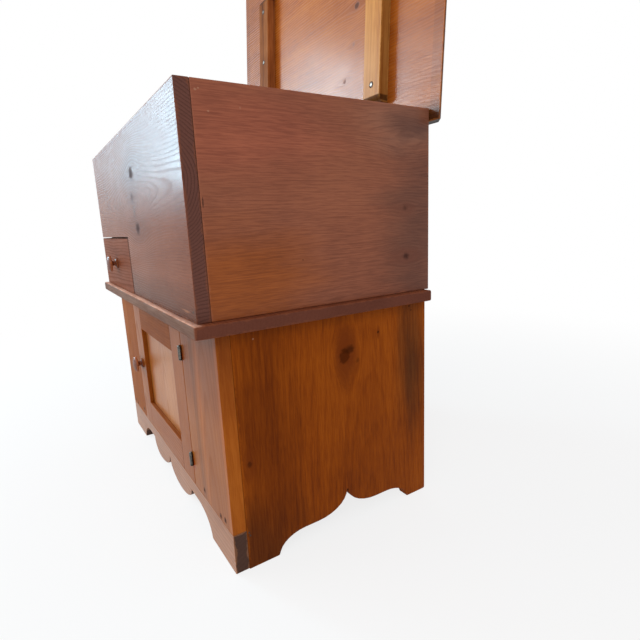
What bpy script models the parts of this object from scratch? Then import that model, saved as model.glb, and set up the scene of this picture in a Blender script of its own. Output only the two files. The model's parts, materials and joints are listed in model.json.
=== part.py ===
"""Dry sink: a deep lidded well with one small drawer, on a cupboard with one framed door.

Metres, +Z up. The front faces -Y and +X is to the right of someone who stands before it.
Shop coordinates place every piece: X = 0 on the centre line, Y = 0 on the front face of the
well and Z = 0 on the floor. The lid is described closed, and its hinge line then opens it.
"""

import math
from collections import namedtuple

import bmesh
import bpy
from mathutils import Matrix, Vector

for old in list(bpy.data.objects):
    bpy.data.objects.remove(old, do_unlink=True)

# Gaps between pieces
FIT = 0.0003
RELIEF = 0.0004

# Rounded edges
EDGE_ROUND = 0.0012
SAWN_ROUND = 0.0008
FINE_ROUND = 0.0006
EDGE_SEGMENTS = 2
EDGE_ANGLE = 40

# Well: four butt-jointed boards, the front one lapping the ends of the sides
WELL_WIDTH = 0.805
WELL_DEPTH = 0.482
WELL_HEIGHT = 0.344
WELL_BOARD = 0.0225

# Deck: the cupboard's top, which is also the floor of the well
DECK_THICKNESS = 0.0215
DECK_FRONT_LIP = 0.0103
DECK_SIDE_LIP = 0.0162
DECK_REAR_SETBACK = 0.007
DECK_ROUND = 0.003

# Cupboard case
CASE_HEIGHT = 0.4275
CASE_SIDE_INSET = 0.005
CASE_FRONT_SETBACK = 0.0266
CASE_REAR_SETBACK = 0.005
SIDE_THICKNESS = 0.0225
FRAME_THICKNESS = 0.0247
APRON_HEIGHT = 0.0755
TOP_RAIL_HEIGHT = 0.024
FLOOR_THICKNESS = 0.018
FLOOR_DADO = 0.008
FLOOR_ABOVE_CUSP = 0.003
BACK_BOARD_THICKNESS = 0.014
BACK_BOARD_COUNT = 4
BACK_BOARD_SEAM = 0.0008

# Sawn outline under each side: foot, shoulder and a cusp in the middle
SIDE_CUSP_FROM_REAR = 0.2095
SIDE_ARCH_HALF = 0.155
SIDE_SHOULDER_FLAT = 0.030
SIDE_SHOULDER_HEIGHT = 0.0335
SIDE_CUSP_RUN = 0.070
SIDE_CUSP_HEIGHT = 0.0755

# Sawn outline under the apron: foot, arch, lobe and a cusp, the lobes a little to the left
APRON_ARCH_HALF = 0.278
APRON_ARCH_FLAT = 0.045
APRON_ARCH_HEIGHT = 0.045
APRON_LOBE_OUTER = 0.160
APRON_LOBE_CENTRE = 0.090
APRON_LOBE_HEIGHT = 0.0085
APRON_LOBE_SHIFT = 0.016
APRON_CUSP_SHIFT = 0.008
APRON_CUSP_HEIGHT = 0.049
CUSP_KERF = 0.003
FOOT_ROUND = 0.004
FOOT_STEPS = 3
CURVE_STEPS = 7

# Door: stub-tenoned frame with a flat panel in its grooves
DOOR_WIDTH = 0.432
DOOR_CENTRE = -0.0185
DOOR_SIDE_GAP = 0.0015
DOOR_TOP_GAP = 0.0015
DOOR_BOTTOM_GAP = 0.0006
DOOR_STILE = 0.075
DOOR_TOP_RAIL = 0.058
DOOR_BOTTOM_RAIL = 0.0655
DOOR_PANEL_RECESS = 0.010
DOOR_PANEL_THICKNESS = 0.008
DOOR_GROOVE = 0.008
DOOR_KNOB_RISE = 0.168

# Door hinges
DOOR_HINGE_LENGTH = 0.0255
DOOR_HINGE_FROM_TOP = 0.0445
DOOR_HINGE_FROM_FOOT = 0.0585
DOOR_PIN_STANDOFF = 0.003
DOOR_BARREL_RADIUS = 0.0038
DOOR_PIN_RADIUS = 0.0018
DOOR_LEAF_MARGIN = 0.006

# Drawer and the housing that it slides in
DRAWER_FRONT_WIDTH = 0.361
DRAWER_FRONT_HEIGHT = 0.1265
DRAWER_TOP_GAP = 0.0025
DRAWER_SIDE_GAP = 0.0012
DRAWER_RUN_GAP = 0.0005
DRAWER_REAR_CLEAR = 0.037
DRAWER_BOARD = 0.011
DRAWER_BOTTOM = 0.006
DRAWER_GROOVE = 0.005
DRAWER_GROOVE_RISE = 0.008
DRAWER_UNDER_CLEAT = 0.003
HOUSING_BOARD = 0.014
HOUSING_CLEAT = 0.014

# Knobs: turned mushrooms with a spigot in the board
KNOB_PROJECTION = 0.0245
KNOB_CAP_RADIUS = 0.0205
KNOB_CAP_RISE = 0.0075
KNOB_CAP_EDGE = 0.0025
KNOB_NECK_RADIUS = 0.0058
KNOB_BASE_RADIUS = 0.0125
KNOB_BASE_HEIGHT = 0.003
KNOB_SPIGOT_RADIUS = 0.006
KNOB_SPIGOT_LENGTH = 0.014
KNOB_STEPS = 28

# Lid: a flat panel with a bevelled upper edge, two battens below and two hinges behind
LID_END_OVERHANG = 0.0255
LID_FRONT_OVERHANG = 0.030
LID_REAR_OVERHANG = 0.025
LID_THICKNESS = 0.020
LID_BEVEL_RUN = 0.020
LID_BEVEL_DEPTH = 0.016
LID_SEAT_GAP = 0.0004
LID_STOP_GAP = 0.0003
BATTEN_CENTRE = 0.254
BATTEN_WIDTH = 0.0535
BATTEN_THICKNESS = 0.024
BATTEN_REAR_CLEAR = 0.0135
BATTEN_FRONT_CLEAR = 0.020
BATTEN_END_RUN = 0.0145
BATTEN_END_RISE = 0.014
BATTEN_END_TURN = 60
LID_HINGE_FROM_SIDE = 0.080
LID_HINGE_LENGTH = 0.064
LID_PIN_SETBACK = 0.00165
LID_BARREL_RADIUS = 0.0029
LID_PIN_RADIUS = 0.0014
LID_LEAF_MARGIN = 0.004

# Shared by every hinge
LEAF_THICKNESS = 0.0016
KNUCKLE_GAP = 0.00035
PIN_CLEARANCE = 0.0001
PIN_TIP = 0.0024
PIN_TIP_STEPS = 4
ROUND_SIDES = 20

# Colours, linear
WELL_RED = (0.150, 0.040, 0.016)
CASE_AMBER = (0.185, 0.060, 0.016)
FRONT_TAN = (0.240, 0.090, 0.040)
DECK_BROWN = (0.095, 0.034, 0.020)
LID_ROSE = (0.230, 0.092, 0.048)
BATTEN_GOLD = (0.330, 0.150, 0.045)
INNER_PINE = (0.300, 0.140, 0.060)
KNOB_RED = (0.160, 0.045, 0.020)
IRON_BLACK = (0.020, 0.019, 0.018)

# Roughness and metallic
WOOD_ROUGH = 0.38
KNOB_ROUGH = 0.25
IRON_ROUGH = 0.50
IRON_METAL = 0.90

# Places that follow from the sizes above
DECK_TOP = CASE_HEIGHT + DECK_THICKNESS
RIM = DECK_TOP + WELL_HEIGHT
WELL_HALF = WELL_WIDTH / 2
WELL_INNER_HALF = WELL_HALF - WELL_BOARD
WELL_BACK_INNER = WELL_DEPTH - WELL_BOARD
CASE_HALF = WELL_HALF - CASE_SIDE_INSET
CASE_INNER_HALF = CASE_HALF - SIDE_THICKNESS
CASE_FRONT = CASE_FRONT_SETBACK
FRAME_REAR = CASE_FRONT + FRAME_THICKNESS
CASE_REAR = WELL_DEPTH - CASE_REAR_SETBACK
BACK_BOARD_FRONT = CASE_REAR - BACK_BOARD_THICKNESS
FLOOR_UNDER = SIDE_CUSP_HEIGHT + FLOOR_ABOVE_CUSP
FLOOR_TOP = FLOOR_UNDER + FLOOR_THICKNESS

OPENING_LEFT = DOOR_CENTRE - DOOR_WIDTH / 2 - DOOR_SIDE_GAP
OPENING_RIGHT = DOOR_CENTRE + DOOR_WIDTH / 2 + DOOR_SIDE_GAP
OPENING_TOP = CASE_HEIGHT - TOP_RAIL_HEIGHT
DOOR_LEFT = DOOR_CENTRE - DOOR_WIDTH / 2
DOOR_RIGHT = DOOR_CENTRE + DOOR_WIDTH / 2
DOOR_LOW = APRON_HEIGHT + DOOR_BOTTOM_GAP
DOOR_HIGH = OPENING_TOP - DOOR_TOP_GAP
DOOR_AXIS = Vector((DOOR_RIGHT + DOOR_SIDE_GAP / 2, CASE_FRONT - DOOR_PIN_STANDOFF, 0))
GROOVE_FRONT = CASE_FRONT + DOOR_PANEL_RECESS
GROOVE_REAR = GROOVE_FRONT + DOOR_PANEL_THICKNESS + 2 * FIT

DRAWER_LEFT = -WELL_HALF
DRAWER_RIGHT = DRAWER_LEFT + DRAWER_FRONT_WIDTH
NOTCH_RIGHT = DRAWER_RIGHT + DRAWER_SIDE_GAP
NOTCH_TOP = DECK_TOP + DRAWER_RUN_GAP + DRAWER_FRONT_HEIGHT + DRAWER_TOP_GAP
DRAWER_LOW = DECK_TOP + DRAWER_RUN_GAP
DRAWER_BOX_LEFT = -WELL_INNER_HALF + DRAWER_SIDE_GAP
DRAWER_BOX_RIGHT = NOTCH_RIGHT - DRAWER_SIDE_GAP
DRAWER_BOX_HIGH = NOTCH_TOP - HOUSING_CLEAT - DRAWER_UNDER_CLEAT
DRAWER_BOX_FRONT = WELL_BOARD + FIT
DRAWER_BOX_REAR = WELL_BACK_INNER - DRAWER_REAR_CLEAR
DRAWER_CENTRE = (DRAWER_LEFT + DRAWER_RIGHT) / 2
BOTTOM_LOW = DRAWER_LOW + DRAWER_GROOVE_RISE + FIT

LID_UNDER = RIM + LID_SEAT_GAP
LID_AXIS = Vector((0, WELL_DEPTH + LID_PIN_SETBACK, RIM + LID_SEAT_GAP / 2))
LID_REAR_REACH = LID_REAR_OVERHANG - LID_PIN_SETBACK
LID_FRONT_REACH = LID_AXIS.y + LID_FRONT_OVERHANG
LID_RISE = LID_UNDER - LID_AXIS.z
# The open lid leans back until the lower edge of its rear overhang meets the back of the well.
LID_STOP_RADIUS = math.hypot(LID_REAR_REACH, LID_RISE)
LID_LEAN = math.asin((LID_PIN_SETBACK - LID_STOP_GAP) / LID_STOP_RADIUS)
LID_LEAN += math.atan2(LID_RISE, LID_REAR_REACH)
LID_OPEN = math.pi / 2 + LID_LEAN

# The origin lies on the floor, under the middle of the whole object with its lid open.
LID_REARMOST = (
    LID_AXIS.y
    + (LID_FRONT_REACH - LID_BEVEL_RUN) * math.sin(LID_LEAN)
    + (LID_RISE + LID_THICKNESS) * math.cos(LID_LEAN)
)
MIDDLE_Y = (LID_REARMOST - KNOB_PROJECTION) / 2

Anchor = namedtuple("Anchor", "empty shop")
HingeSize = namedtuple("HingeSize", "length leaf barrel pin gap")


def new_collection(name):
    collection = bpy.data.collections.new(name)
    bpy.context.scene.collection.children.link(collection)
    return collection


PARTS = new_collection("dry_sink")
CUTTERS = new_collection("dry_sink_cutters")


def add_anchor(name, shop, parent=None, turn_x=0.0):
    """An empty that carries pieces, at a point given in shop coordinates."""
    empty = bpy.data.objects.new(name, None)
    PARTS.objects.link(empty)
    empty.location = shop
    if parent:
        empty.parent = parent.empty
        empty.location = Vector(shop) - parent.shop
    empty.rotation_euler.x = turn_x
    return Anchor(empty, Vector(shop))


FRAME = add_anchor("dry_sink_frame", (0, 0, 0))
FRAME.empty.location.y = -MIDDLE_Y
DOOR = add_anchor("door_axis", DOOR_AXIS, FRAME)
DRAWER = add_anchor("drawer_slide", (DRAWER_CENTRE, 0, DRAWER_LOW), FRAME)
LID = add_anchor("lid_axis", LID_AXIS, FRAME, -LID_OPEN)

FRONTAL = (math.pi / 2, 0, 0)
LATERAL = (math.pi / 2, 0, math.pi / 2)


def finish(piece, colour, roughness=WOOD_ROUGH, metallic=0.0):
    """Gives a piece its own material."""
    material = bpy.data.materials.new(piece.name)
    material.use_nodes = True
    shader = material.node_tree.nodes["Principled BSDF"]
    shader.inputs["Base Color"].default_value = (*colour, 1)
    shader.inputs["Roughness"].default_value = roughness
    shader.inputs["Metallic"].default_value = metallic
    material.diffuse_color = (*colour, 1)
    piece.data.materials.append(material)
    return piece


def put(name, mesh, anchor, shop, rotation=(0, 0, 0), helper=False):
    """Links a mesh as an object that rides on an anchor."""
    piece = bpy.data.objects.new(name, mesh)
    (CUTTERS if helper else PARTS).objects.link(piece)
    piece.parent = anchor.empty
    piece.location = Vector(shop) - anchor.shop
    piece.rotation_euler = rotation
    if helper:
        piece.hide_render = True
        piece.display_type = "WIRE"
    return piece


def round_edges(piece, width):
    bevel = piece.modifiers.new("Round edges", "BEVEL")
    bevel.width = width
    bevel.segments = EDGE_SEGMENTS
    bevel.limit_method = "ANGLE"
    bevel.angle_limit = math.radians(EDGE_ANGLE)


def cube_mesh(name, size):
    mesh = bpy.data.meshes.new(name)
    shape = bmesh.new()
    bmesh.ops.create_cube(shape, size=1.0)
    bmesh.ops.scale(shape, vec=size, verts=shape.verts)
    shape.to_mesh(mesh)
    shape.free()
    return mesh


def rod_mesh(name, radius, length):
    """A round bar along Z, centred on the origin."""
    mesh = bpy.data.meshes.new(name)
    shape = bmesh.new()
    bmesh.ops.create_cone(
        shape, cap_ends=True, segments=ROUND_SIDES, radius1=radius, radius2=radius, depth=length
    )
    shape.to_mesh(mesh)
    shape.free()
    return mesh


def add_board(name, low, high, anchor, colour, rounding=EDGE_ROUND):
    """A rectangular board between two corners."""
    low = Vector(low)
    high = Vector(high)
    board = put(name, cube_mesh(name, high - low), anchor, (low + high) / 2)
    round_edges(board, rounding)
    return finish(board, colour)


def outline_mesh(name, points, thickness):
    """A flat outline in X and Y, filled and extruded along Z about its middle."""
    curve = bpy.data.curves.new(name, "CURVE")
    curve.dimensions = "2D"
    curve.fill_mode = "BOTH"
    curve.extrude = thickness / 2
    spline = curve.splines.new("POLY")
    spline.points.add(len(points) - 1)
    for knot, (x, y) in zip(spline.points, points):
        knot.co = (x, y, 0, 1)
    spline.use_cyclic_u = True
    guide = bpy.data.objects.new(name, curve)
    PARTS.objects.link(guide)
    graph = bpy.context.evaluated_depsgraph_get()
    mesh = bpy.data.meshes.new_from_object(guide.evaluated_get(graph))
    bpy.data.objects.remove(guide, do_unlink=True)
    shape = bmesh.new()
    shape.from_mesh(mesh)
    bmesh.ops.remove_doubles(shape, verts=shape.verts, dist=FIT / 10)
    bmesh.ops.dissolve_limit(shape, angle_limit=math.radians(1), verts=shape.verts, edges=shape.edges)
    bmesh.ops.recalc_face_normals(shape, faces=shape.faces)
    shape.to_mesh(mesh)
    shape.free()
    return mesh


def add_outline_board(name, points, thickness, anchor, shop, rotation, colour, rounding=EDGE_ROUND):
    board = put(name, outline_mesh(name, points, thickness), anchor, shop, rotation)
    round_edges(board, rounding)
    return finish(board, colour)


def combine(piece, tool, operation="DIFFERENCE"):
    boolean = piece.modifiers.new(tool.name, "BOOLEAN")
    boolean.operation = operation
    boolean.object = tool


def cut_box(piece, name, low, high, anchor):
    low = Vector(low)
    high = Vector(high)
    combine(piece, put(name, cube_mesh(name, high - low), anchor, (low + high) / 2, helper=True))


def cut_bore(piece, name, shop, radius, length, anchor, rotation):
    combine(piece, put(name, rod_mesh(name, radius, length), anchor, shop, rotation, helper=True))


def quarter(centre, radii, start, end, steps=CURVE_STEPS):
    """Points of an elliptical arc, from one angle to another in degrees."""
    arc = []
    for step in range(steps + 1):
        angle = math.radians(start + (end - start) * step / steps)
        arc.append((centre[0] + radii[0] * math.cos(angle), centre[1] + radii[1] * math.sin(angle)))
    return arc


def foot_corner(x, way):
    """The eased corner of a foot at x, from the floor up, with the foot on the given side."""
    centre = (x + way * FOOT_ROUND, FOOT_ROUND)
    return quarter(centre, (-way * FOOT_ROUND, FOOT_ROUND), 270, 360, FOOT_STEPS)


def mirrored(half):
    """A half outline that ends beside the middle line, carried on to its mirror image."""
    return half + [(-x, y) for x, y in reversed(half)]


def apron_edge(way):
    """The apron's sawn edge on one side, from the outer foot to the cusp. The way is 1 on the right."""
    arch_top = APRON_LOBE_OUTER + APRON_ARCH_FLAT
    lobe = APRON_LOBE_CENTRE - way * APRON_LOBE_SHIFT
    cusp = CUSP_KERF / 2 - way * APRON_CUSP_SHIFT
    outer_radii = (APRON_LOBE_OUTER - lobe, APRON_ARCH_HEIGHT - APRON_LOBE_HEIGHT)
    inner_radii = (lobe - cusp, APRON_CUSP_HEIGHT - APRON_LOBE_HEIGHT)
    edge = foot_corner(CASE_HALF, -1)[::-1] + foot_corner(APRON_ARCH_HALF, 1)
    edge += quarter((arch_top, 0), (APRON_ARCH_HALF - arch_top, APRON_ARCH_HEIGHT), 0, 90)[1:]
    edge += quarter((lobe, APRON_ARCH_HEIGHT), outer_radii, 360, 270)
    edge += quarter((lobe, APRON_CUSP_HEIGHT), inner_radii, 270, 180)[1:]
    return [(way * x, z) for x, z in edge]


def add_turned(name, profile, anchor, shop, rotation):
    """A turned piece about Z. The profile runs from the top of the axis down to its bottom."""
    mesh = bpy.data.meshes.new(name)
    edges = [(index, index + 1) for index in range(len(profile) - 1)]
    mesh.from_pydata([(radius, 0, height) for radius, height in profile], edges, [])
    piece = put(name, mesh, anchor, shop, rotation)
    screw = piece.modifiers.new("Turn", "SCREW")
    screw.steps = KNOB_STEPS
    screw.render_steps = KNOB_STEPS
    screw.use_merge_vertices = True
    screw.merge_threshold = FIT / 10
    screw.use_smooth_shade = True
    return piece


def build_case():
    """Two sawn sides, a front frame over their edges, a floor in dados and a boarded back."""
    cusp_y = CASE_REAR - SIDE_CUSP_FROM_REAR
    side_front = FRAME_REAR + FIT
    shoulder = SIDE_CUSP_RUN + SIDE_SHOULDER_FLAT
    half = foot_corner(SIDE_ARCH_HALF, 1)
    half += quarter((shoulder, 0), (SIDE_ARCH_HALF - shoulder, SIDE_SHOULDER_HEIGHT), 0, 90)[1:]
    rise = SIDE_CUSP_HEIGHT - SIDE_SHOULDER_HEIGHT
    cusp_run = SIDE_CUSP_RUN - CUSP_KERF / 2
    half += quarter((SIDE_CUSP_RUN, SIDE_CUSP_HEIGHT), (cusp_run, rise), 270, 180)
    arch = [(cusp_y - x, z) for x, z in mirrored(half)]
    side_top = CASE_HEIGHT - FIT
    outline = [(side_front, 0)] + arch + foot_corner(CASE_REAR, -1)
    outline += [(CASE_REAR, side_top), (side_front, side_top)]
    floor_rear = BACK_BOARD_FRONT - FIT
    for word, way in (("left", -1), ("right", 1)):
        middle = way * (CASE_HALF - SIDE_THICKNESS / 2)
        name = f"case_side_{word}"
        side = add_outline_board(
            name, outline, SIDE_THICKNESS, FRAME, (middle, 0, 0), LATERAL, CASE_AMBER, SAWN_ROUND
        )
        reach = sorted((way * (CASE_INNER_HALF - FLOOR_DADO), way * (CASE_INNER_HALF + FLOOR_DADO)))
        cut_box(
            side,
            f"{name}_dado",
            (reach[0], side_front - FLOOR_DADO, FLOOR_UNDER - FIT),
            (reach[1], floor_rear + FIT, FLOOR_TOP + FIT),
            FRAME,
        )

    floor_half = CASE_INNER_HALF + FLOOR_DADO - FIT
    add_board(
        "case_floor",
        (-floor_half, side_front, FLOOR_UNDER),
        (floor_half, floor_rear, FLOOR_TOP),
        FRAME,
        INNER_PINE,
        FINE_ROUND,
    )

    back_half = CASE_INNER_HALF - FIT
    width = 2 * back_half / BACK_BOARD_COUNT
    for index in range(BACK_BOARD_COUNT):
        left = -back_half + index * width
        seam = 0 if index == BACK_BOARD_COUNT - 1 else BACK_BOARD_SEAM
        add_board(
            f"case_back_board_{index + 1}",
            (left, BACK_BOARD_FRONT, FLOOR_UNDER),
            (left + width - seam, CASE_REAR, CASE_HEIGHT - FIT),
            FRAME,
            INNER_PINE,
        )

    apron = apron_edge(1) + apron_edge(-1)[::-1]
    apron += [(-CASE_HALF, APRON_HEIGHT), (CASE_HALF, APRON_HEIGHT)]
    frame_middle = (0, CASE_FRONT + FRAME_THICKNESS / 2, 0)
    add_outline_board(
        "case_apron", apron, FRAME_THICKNESS, FRAME, frame_middle, FRONTAL, FRONT_TAN, SAWN_ROUND
    )

    stile_low = APRON_HEIGHT + FIT
    stile_high = CASE_HEIGHT - FIT
    add_board(
        "case_stile_left",
        (-CASE_HALF, CASE_FRONT, stile_low),
        (OPENING_LEFT, FRAME_REAR, stile_high),
        FRAME,
        FRONT_TAN,
    )
    right = add_board(
        "case_stile_right",
        (OPENING_RIGHT, CASE_FRONT, stile_low),
        (CASE_HALF, FRAME_REAR, stile_high),
        FRAME,
        FRONT_TAN,
    )
    add_board(
        "case_top_rail",
        (OPENING_LEFT + FIT, CASE_FRONT, OPENING_TOP),
        (OPENING_RIGHT - FIT, FRAME_REAR, stile_high),
        FRAME,
        FRONT_TAN,
    )
    return right


def build_deck():
    half = WELL_HALF + DECK_SIDE_LIP
    add_board(
        "deck",
        (-half, -DECK_FRONT_LIP, CASE_HEIGHT),
        (half, WELL_DEPTH - DECK_REAR_SETBACK, DECK_TOP),
        FRAME,
        DECK_BROWN,
        DECK_ROUND,
    )


def build_well():
    low = DECK_TOP + FIT
    front = [
        (WELL_HALF, low),
        (WELL_HALF, RIM),
        (-WELL_HALF, RIM),
        (-WELL_HALF, NOTCH_TOP),
        (NOTCH_RIGHT, NOTCH_TOP),
        (NOTCH_RIGHT, low),
    ]
    add_outline_board("well_front", front, WELL_BOARD, FRAME, (0, WELL_BOARD / 2, 0), FRONTAL, WELL_RED)
    for word, way in (("left", -1), ("right", 1)):
        outer = way * WELL_HALF
        inner = way * WELL_INNER_HALF
        add_board(
            f"well_side_{word}",
            (min(outer, inner), WELL_BOARD + FIT, low),
            (max(outer, inner), WELL_DEPTH, RIM),
            FRAME,
            WELL_RED,
        )
    back_half = WELL_INNER_HALF - FIT
    return add_board(
        "well_back",
        (-back_half, WELL_BACK_INNER, low),
        (back_half, WELL_DEPTH, RIM),
        FRAME,
        WELL_RED,
    )


def build_drawer_housing():
    """The box inside the well that keeps the drawer apart from what stands in the well."""
    front = WELL_BOARD + FIT
    rear = WELL_BACK_INNER - FIT
    low = DECK_TOP + FIT
    side_right = NOTCH_RIGHT + HOUSING_BOARD
    add_board(
        "drawer_housing_side",
        (NOTCH_RIGHT, front, low),
        (side_right, rear, NOTCH_TOP - FIT),
        FRAME,
        INNER_PINE,
    )
    add_board(
        "drawer_housing_top",
        (-WELL_INNER_HALF + FIT, front, NOTCH_TOP),
        (side_right, rear, NOTCH_TOP + HOUSING_BOARD),
        FRAME,
        INNER_PINE,
    )
    add_board(
        "drawer_housing_cleat",
        (-WELL_INNER_HALF + FIT, front, NOTCH_TOP - HOUSING_CLEAT),
        (-WELL_INNER_HALF + HOUSING_CLEAT, rear, NOTCH_TOP - FIT),
        FRAME,
        INNER_PINE,
    )


def add_knob(name, anchor, board, seat):
    """A mushroom knob whose spigot sits in a hole bored in its board."""
    cap_back = KNOB_PROJECTION - KNOB_CAP_RISE - KNOB_CAP_EDGE
    neck = (KNOB_BASE_HEIGHT + cap_back) / 2
    crown = quarter((0, KNOB_PROJECTION - KNOB_CAP_RISE), (KNOB_CAP_RADIUS, KNOB_CAP_RISE), 90, 0)
    flare_out = KNOB_CAP_RADIUS - KNOB_NECK_RADIUS
    flare = quarter((KNOB_CAP_RADIUS, neck), (flare_out, cap_back - neck), 90, 180)
    foot_out = KNOB_BASE_RADIUS - KNOB_NECK_RADIUS
    foot = quarter((KNOB_BASE_RADIUS, neck), (foot_out, neck - KNOB_BASE_HEIGHT), 180, 270)
    profile = [(0, KNOB_PROJECTION)] + crown[1:] + flare + foot[1:]
    profile += [(KNOB_BASE_RADIUS, FIT), (KNOB_SPIGOT_RADIUS, FIT)]
    profile += [(KNOB_SPIGOT_RADIUS, -KNOB_SPIGOT_LENGTH), (0, -KNOB_SPIGOT_LENGTH)]
    finish(add_turned(name, profile, anchor, seat, FRONTAL), KNOB_RED, KNOB_ROUGH)
    depth = KNOB_SPIGOT_LENGTH + FIT
    mouth = Vector(seat) + Vector((0, (depth - FIT) / 2, 0))
    cut_bore(board, f"{name}_hole", mouth, KNOB_SPIGOT_RADIUS + FIT, depth + FIT, anchor, FRONTAL)


def build_drawer():
    front = add_board(
        "drawer_front",
        (DRAWER_LEFT, 0, DRAWER_LOW),
        (DRAWER_RIGHT, WELL_BOARD, DRAWER_LOW + DRAWER_FRONT_HEIGHT),
        DRAWER,
        WELL_RED,
    )
    groove_low = DRAWER_LOW + DRAWER_GROOVE_RISE
    groove_high = groove_low + DRAWER_BOTTOM + 2 * FIT
    inner_left = DRAWER_BOX_LEFT + DRAWER_BOARD
    inner_right = DRAWER_BOX_RIGHT - DRAWER_BOARD
    groove_left = inner_left - DRAWER_GROOVE
    groove_right = inner_right + DRAWER_GROOVE
    groove_front = WELL_BOARD - DRAWER_GROOVE
    cut_box(
        front,
        "drawer_front_groove",
        (groove_left, groove_front, groove_low),
        (groove_right, WELL_BOARD + DRAWER_GROOVE, groove_high),
        DRAWER,
    )
    for word, left, right in (
        ("left", DRAWER_BOX_LEFT, inner_left),
        ("right", inner_right, DRAWER_BOX_RIGHT),
    ):
        name = f"drawer_side_{word}"
        side = add_board(
            name,
            (left, DRAWER_BOX_FRONT, DRAWER_LOW),
            (right, DRAWER_BOX_REAR, DRAWER_BOX_HIGH),
            DRAWER,
            INNER_PINE,
            FINE_ROUND,
        )
        cut_left = groove_left if word == "left" else inner_right - DRAWER_GROOVE
        cut_right = inner_left + DRAWER_GROOVE if word == "left" else groove_right
        cut_box(
            side,
            f"{name}_groove",
            (cut_left, groove_front, groove_low),
            (cut_right, DRAWER_BOX_REAR + DRAWER_GROOVE, groove_high),
            DRAWER,
        )
    add_board(
        "drawer_bottom",
        (groove_left + FIT, groove_front + FIT, BOTTOM_LOW),
        (groove_right - FIT, DRAWER_BOX_REAR, BOTTOM_LOW + DRAWER_BOTTOM),
        DRAWER,
        INNER_PINE,
        FIT,
    )
    add_board(
        "drawer_back",
        (inner_left + FIT, DRAWER_BOX_REAR - DRAWER_BOARD, BOTTOM_LOW + DRAWER_BOTTOM + FIT),
        (inner_right - FIT, DRAWER_BOX_REAR, DRAWER_BOX_HIGH),
        DRAWER,
        INNER_PINE,
        FINE_ROUND,
    )
    seat = (DRAWER_CENTRE, 0, DRAWER_LOW + DRAWER_FRONT_HEIGHT / 2)
    add_knob("drawer_knob", DRAWER, front, seat)


def build_door():
    """Stiles the full height, rails stub-tenoned into their grooves, and a loose panel."""
    panel_left = DOOR_LEFT + DOOR_STILE
    panel_right = DOOR_RIGHT - DOOR_STILE
    panel_low = DOOR_LOW + DOOR_BOTTOM_RAIL
    panel_high = DOOR_HIGH - DOOR_TOP_RAIL
    stiles = []
    for word, left, right, groove_left, groove_right in (
        ("lock", DOOR_LEFT, panel_left, panel_left - DOOR_GROOVE, panel_left + DOOR_GROOVE),
        ("hinge", panel_right, DOOR_RIGHT, panel_right - DOOR_GROOVE, panel_right + DOOR_GROOVE),
    ):
        name = f"door_stile_{word}"
        stile = add_board(
            name,
            (left, CASE_FRONT, DOOR_LOW),
            (right, FRAME_REAR, DOOR_HIGH),
            DOOR,
            FRONT_TAN,
        )
        cut_box(
            stile,
            f"{name}_groove",
            (groove_left, GROOVE_FRONT, DOOR_LOW - DOOR_GROOVE),
            (groove_right, GROOVE_REAR, DOOR_HIGH + DOOR_GROOVE),
            DOOR,
        )
        stiles.append(stile)

    tenon_left = panel_left - DOOR_GROOVE + FIT
    tenon_right = panel_right + DOOR_GROOVE - FIT
    tenon_front = GROOVE_FRONT + FIT
    tenon_rear = GROOVE_REAR - FIT
    shoulders = (
        ("left", tenon_left - DOOR_GROOVE, panel_left + FIT),
        ("right", panel_right - FIT, tenon_right + DOOR_GROOVE),
    )
    cheeks = (
        ("front", CASE_FRONT - DOOR_GROOVE, tenon_front),
        ("rear", tenon_rear, FRAME_REAR + DOOR_GROOVE),
    )
    for word, low, high, groove_low, groove_high in (
        ("top", panel_high, DOOR_HIGH, panel_high - DOOR_GROOVE, panel_high + DOOR_GROOVE),
        ("bottom", DOOR_LOW, panel_low, panel_low - DOOR_GROOVE, panel_low + DOOR_GROOVE),
    ):
        name = f"door_rail_{word}"
        rail = add_board(
            name,
            (tenon_left, CASE_FRONT, low),
            (tenon_right, FRAME_REAR, high),
            DOOR,
            FRONT_TAN,
        )
        for end, left, right in shoulders:
            for face, front, rear in cheeks:
                cut_box(
                    rail,
                    f"{name}_{end}_{face}_cheek",
                    (left, front, low - DOOR_GROOVE),
                    (right, rear, high + DOOR_GROOVE),
                    DOOR,
                )
        cut_box(
            rail,
            f"{name}_groove",
            (tenon_left - DOOR_GROOVE, GROOVE_FRONT, groove_low),
            (tenon_right + DOOR_GROOVE, GROOVE_REAR, groove_high),
            DOOR,
        )
    add_board(
        "door_panel",
        (tenon_left, tenon_front, panel_low - DOOR_GROOVE + FIT),
        (tenon_right, tenon_rear, panel_high + DOOR_GROOVE - FIT),
        DOOR,
        FRONT_TAN,
        FIT,
    )
    lock, hinge = stiles
    seat = (DOOR_LEFT + DOOR_STILE / 2, CASE_FRONT, DOOR_LOW + DOOR_KNOB_RISE)
    add_knob("door_knob", DOOR, lock, seat)
    return hinge


def leaf_outline(size, tabs):
    """A hinge leaf in its own plane: across from the pin, and along the pin."""
    clear = size.barrel + KNUCKLE_GAP
    half = size.length / 2
    points = [(size.leaf, -half), (size.leaf, half)]
    top = half
    for low, high in tabs:
        if high < top:
            points += [(clear, top), (clear, high)]
        points += [(0, high), (0, low)]
        top = low
    if top > -half:
        points += [(clear, top), (clear, -half)]
    return points


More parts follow.
